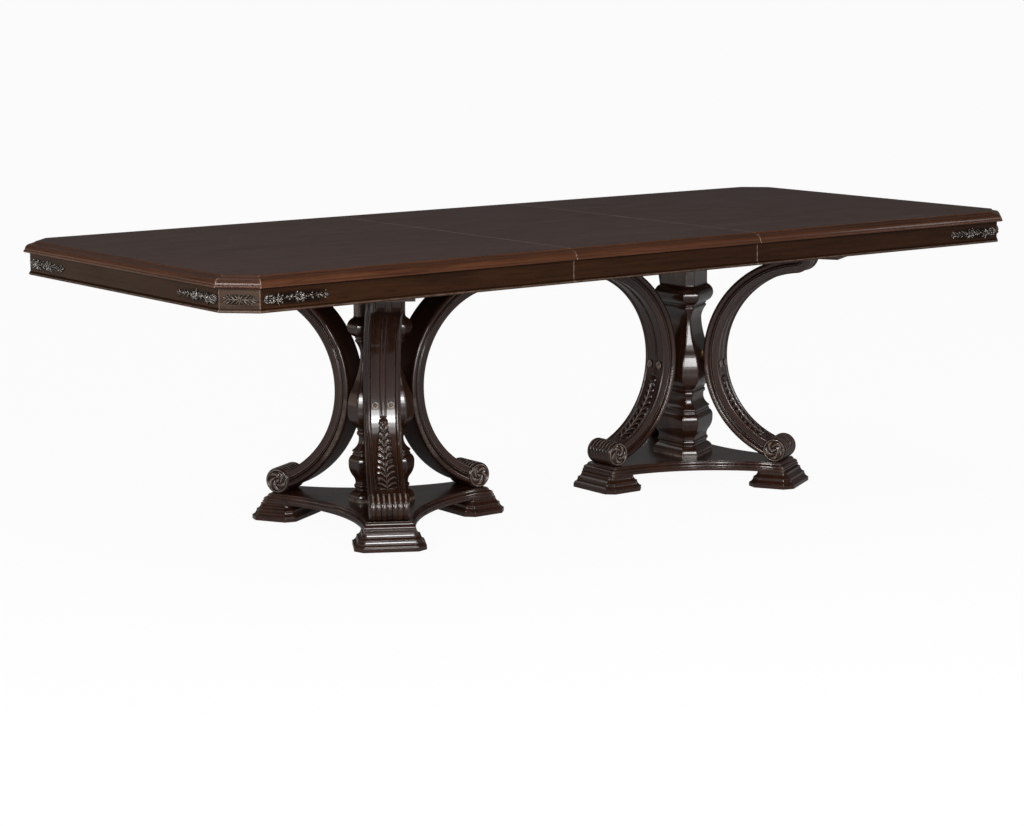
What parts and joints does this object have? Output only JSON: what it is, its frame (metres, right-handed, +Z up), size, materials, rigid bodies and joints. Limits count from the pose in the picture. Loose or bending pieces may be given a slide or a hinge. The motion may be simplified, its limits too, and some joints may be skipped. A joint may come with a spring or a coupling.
{
  "type": "extending dining table",
  "caption": "Long wooden dining table with clipped corners, moulded edge and a lift-out leaf, on pedestals with a faceted column and C-shaped scroll arms.",
  "frame": {"origin": "on the floor, under the middle of the top", "axes": "+X along the table towards its right end, +Y towards its back, +Z up"},
  "size_m": [2.59, 1.118, 0.762],
  "materials": {
    "top_veneer": "dark espresso stain with fine straight grain, semi-gloss lacquer",
    "edge_wood": "reddish walnut stain, semi-gloss lacquer",
    "apron_wood": "brown walnut stain, semi-gloss lacquer",
    "carved_wood": "carved, with pale rubbed high spots and a dark glaze in the hollows",
    "pedestal_wood": "very dark brown stain under glossy lacquer",
    "plain_wood": "bare hardwood",
    "steel": "zinc plated",
    "glide_plastic": "matte"
  },
  "bodies": {
    "base": {"arm_buttons": "carved_wood", "arm_dowels": "plain_wood", "arm_screws": "steel", "back_slide_rail": "plain_wood", "centre_beam": "plain_wood", "column_tie_rods": "steel", "floor_glides": "glide_plastic", "foot_screws": "steel", "front_slide_rail": "plain_wood", "left_back_arm": "pedestal_wood", "left_back_foot": "pedestal_wood", "left_column": "pedestal_wood", "left_front_arm": "pedestal_wood", "left_front_foot": "pedestal_wood", "left_inner_arm": "pedestal_wood", "left_inner_foot": "pedestal_wood", "left_mounting_board": "plain_wood", "left_platform": "pedestal_wood", "rail_screws": "steel", "right_back_arm": "pedestal_wood", "right_back_foot": "pedestal_wood", "right_column": "pedestal_wood", "right_front_arm": "pedestal_wood", "right_front_foot": "pedestal_wood", "right_inner_arm": "pedestal_wood", "right_inner_foot": "pedestal_wood", "right_mounting_board": "plain_wood", "right_platform": "pedestal_wood", "tie_rod_nuts": "steel"},
    "left_half": {"left_back_apron": "apron_wood", "left_back_runner": "plain_wood", "left_carvings": "carved_wood", "left_corner_blocks": "apron_wood", "left_edge_mouldings": "edge_wood", "left_end_apron": "apron_wood", "left_front_apron": "apron_wood", "left_front_runner": "plain_wood", "left_glue_blocks": "plain_wood", "left_leaf_pins": "plain_wood", "left_runner_screws": "steel", "left_top_panel": "top_veneer"},
    "right_half": {"right_back_apron": "apron_wood", "right_back_runner": "plain_wood", "right_carvings": "carved_wood", "right_corner_blocks": "apron_wood", "right_edge_mouldings": "edge_wood", "right_end_apron": "apron_wood", "right_front_apron": "apron_wood", "right_front_runner": "plain_wood", "right_glue_blocks": "plain_wood", "right_leaf_pins": "plain_wood", "right_runner_screws": "steel", "right_top_panel": "top_veneer"},
    "leaf": {"leaf_back_apron": "apron_wood", "leaf_edge_mouldings": "edge_wood", "leaf_front_apron": "apron_wood", "leaf_glue_blocks": "plain_wood", "leaf_panel": "top_veneer"}
  },
  "joints": [
    {"name": "left_half_slide", "type": "slide", "parent": "base", "child": "left_half", "axis": [-1, 0, 0], "range_m": [0, 0.05]},
    {"name": "right_half_slide", "type": "slide", "parent": "base", "child": "right_half", "axis": [1, 0, 0], "range_m": [0, 0.05]},
    {"name": "leaf_lift", "type": "slide", "parent": "base", "child": "leaf", "axis": [0, 0, 1], "range_m": [0, 0.3]}
  ]
}
